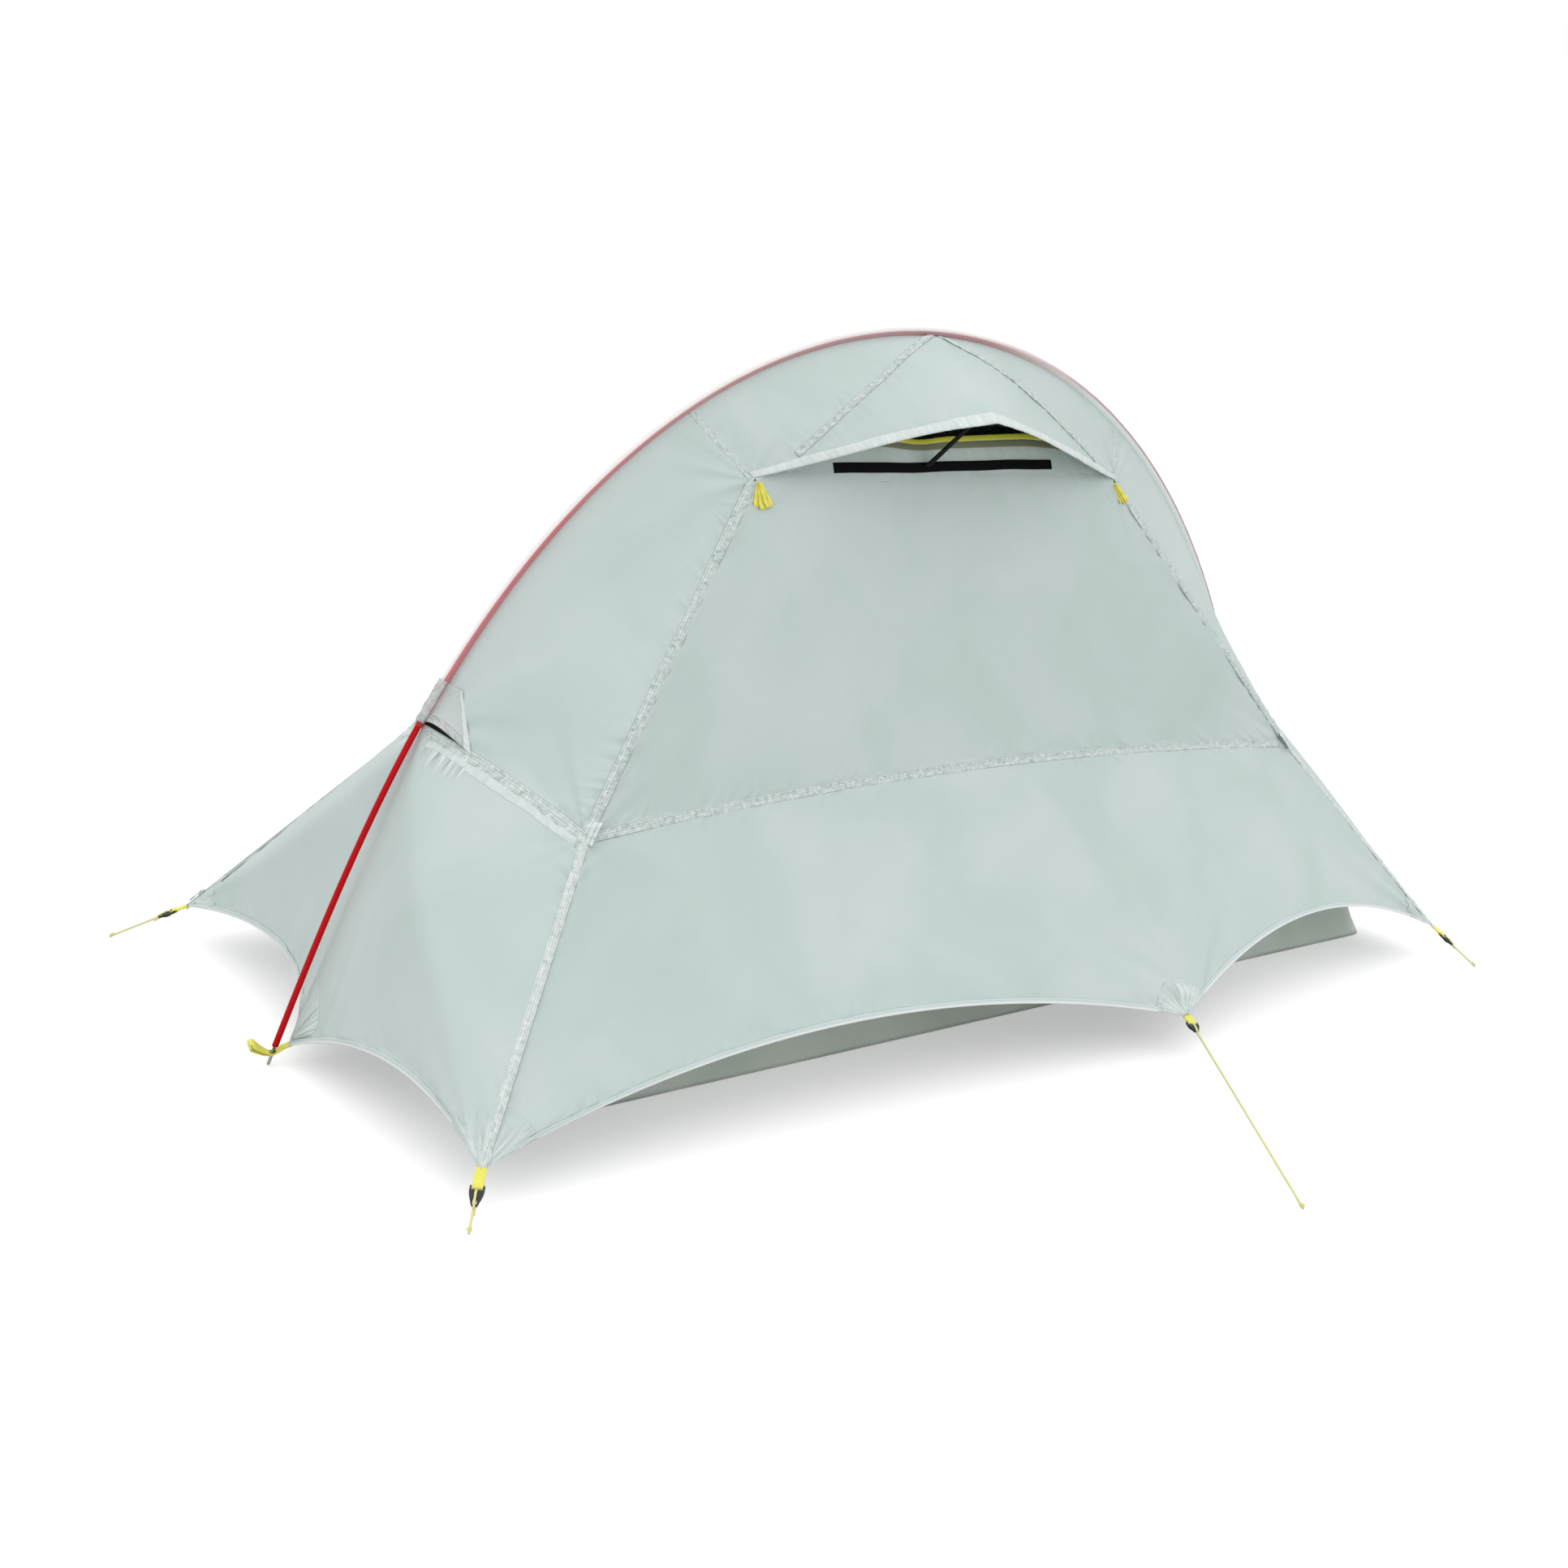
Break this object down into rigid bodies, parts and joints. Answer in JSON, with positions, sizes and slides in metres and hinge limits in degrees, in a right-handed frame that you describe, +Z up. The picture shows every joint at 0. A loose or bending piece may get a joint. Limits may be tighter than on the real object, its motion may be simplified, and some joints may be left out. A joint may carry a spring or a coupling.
{
  "type": "ultralight tent",
  "caption": "Low single-arch tent with a shock-corded pole in a sleeve, draped fly with brow vents, lifting door, inner tent with a tray floor, and adjustable guy lines.",
  "frame": {"origin": "on the ground under the middle of the tent's length and width", "axes": "+X along the pole's span, +Y across the tent towards the door, +Z up"},
  "size_m": [2.2258, 1.9616, 1.0568],
  "materials": {
    "pole": "bright red anodised tube",
    "bare_metal": "bare aluminium",
    "shock_cord": "braided elastic cord",
    "sleeve_cloth": "thin translucent woven fabric over a red pole",
    "fly_cloth": "thin coated fabric, pale grey green, soft sheen",
    "floor_cloth": "coated fabric, grey green",
    "net": "fine black mesh",
    "webbing": "woven yellow webbing",
    "line": "braided cord, pale yellow",
    "black_plastic": "black moulded plastic"
  },
  "bodies": {
    "tent": {"brow_far": "fly_cloth", "brow_loop_far_left": "webbing", "brow_loop_far_right": "webbing", "brow_loop_near_left": "webbing", "brow_loop_near_right": "webbing", "brow_near": "fly_cloth", "end_hood_left": "fly_cloth", "end_hood_right": "fly_cloth", "end_panel_left": "fly_cloth", "end_panel_right": "fly_cloth", "foot_strap_left": "webbing", "foot_strap_right": "webbing", "hook_strip_far": "black_plastic", "hook_strip_near": "black_plastic", "inner_floor": "floor_cloth", "inner_hanger": "webbing", "inner_wall_far": "net", "inner_wall_near": "net", "pole_section_1": "pole", "pole_section_2": "pole", "pole_section_3": "pole", "pole_section_4": "pole", "pole_section_5": "pole", "pole_section_6": "pole", "pole_sleeve": "sleeve_cloth", "pole_tip_left": "bare_metal", "pole_tip_right": "bare_metal", "shock_cord": "shock_cord", "side_panel_far_left": "fly_cloth", "side_panel_far_right": "fly_cloth", "side_panel_near_left": "fly_cloth", "side_panel_near_right": "fly_cloth", "skirt_near": "fly_cloth", "vent_collar_far": "fly_cloth", "vent_collar_near": "fly_cloth", "wall_panel_near": "fly_cloth", "webbing_loop_far_left": "webbing", "webbing_loop_far_right": "webbing", "webbing_loop_near_left": "webbing", "webbing_loop_near_right": "webbing", "webbing_loop_near_side": "webbing"},
    "vent_prop_near": {"vent_prop_near": "black_plastic"},
    "vent_prop_far": {"vent_prop_far": "black_plastic"},
    "guy_near_left": {"line_adjuster_near_left": "black_plastic", "guyline_near_left": "line"},
    "guy_near_right": {"line_adjuster_near_right": "black_plastic", "guyline_near_right": "line"},
    "guy_far_left": {"line_adjuster_far_left": "black_plastic", "guyline_far_left": "line"},
    "guy_far_right": {"line_adjuster_far_right": "black_plastic", "guyline_far_right": "line"},
    "guy_near_side": {"line_adjuster_near_side": "black_plastic", "guyline_near_side": "line"},
    "guy_far_side": {"line_adjuster_far_side": "black_plastic", "guyline_far_side": "line"},
    "zip_slider_left": {"zip_slider_left": "bare_metal"},
    "zip_slider_right": {"zip_slider_right": "bare_metal"},
    "door": {"door_panel_far": "fly_cloth", "skirt_far": "fly_cloth", "webbing_loop_far_side": "webbing"}
  },
  "joints": [
    {"name": "door_lift", "type": "hinge", "parent": "tent", "child": "door", "pos_m": [0, 0.08, 0.824], "axis": [1, 0, 0], "range_deg": [0, 90]},
    {"name": "vent_prop_near_fold", "type": "hinge", "parent": "tent", "child": "vent_prop_near", "pos_m": [-0.047, -0.07608, 0.84779], "axis": [-1, 0, 0], "range_deg": [0, 55]},
    {"name": "vent_prop_far_fold", "type": "hinge", "parent": "tent", "child": "vent_prop_far", "pos_m": [0.047, 0.07608, 0.84779], "axis": [1, 0, 0], "range_deg": [0, 55]},
    {"name": "guy_near_left_swing", "type": "hinge", "parent": "tent", "child": "guy_near_left", "pos_m": [-1.02031, -0.48982, 0.04138], "axis": [-0.7598, 0.6502, 0], "range_deg": [0, 60]},
    {"name": "guy_near_right_swing", "type": "hinge", "parent": "tent", "child": "guy_near_right", "pos_m": [1.01646, -0.49525, 0.04493], "axis": [-0.9399, -0.3416, 0], "range_deg": [0, 60]},
    {"name": "guy_far_left_swing", "type": "hinge", "parent": "tent", "child": "guy_far_left", "pos_m": [-1.02772, 0.48678, 0.04721], "axis": [0.4479, 0.8941, 0], "range_deg": [0, 60]},
    {"name": "guy_far_right_swing", "type": "hinge", "parent": "tent", "child": "guy_far_right", "pos_m": [1.02031, 0.48982, 0.04138], "axis": [0.7598, -0.6502, 0], "range_deg": [0, 60]},
    {"name": "guy_near_side_swing", "type": "hinge", "parent": "tent", "child": "guy_near_side", "pos_m": [0.19137, -0.5773, 0.05739], "axis": [-0.8605, 0.5094, 0], "range_deg": [0, 60]},
    {"name": "guy_far_side_swing", "type": "hinge", "parent": "door", "child": "guy_far_side", "pos_m": [-0.19137, 0.5773, 0.05739], "axis": [0.8605, -0.5094, 0], "range_deg": [0, 60]},
    {"name": "zip_slider_left_run", "type": "slide", "parent": "tent", "child": "zip_slider_left", "axis": [0.5531, -0.4641, 0.6919], "range_m": [0, 0.38]},
    {"name": "zip_slider_right_run", "type": "slide", "parent": "tent", "child": "zip_slider_right", "axis": [-0.5531, -0.4641, 0.6919], "range_m": [0, 0.38]}
  ]
}
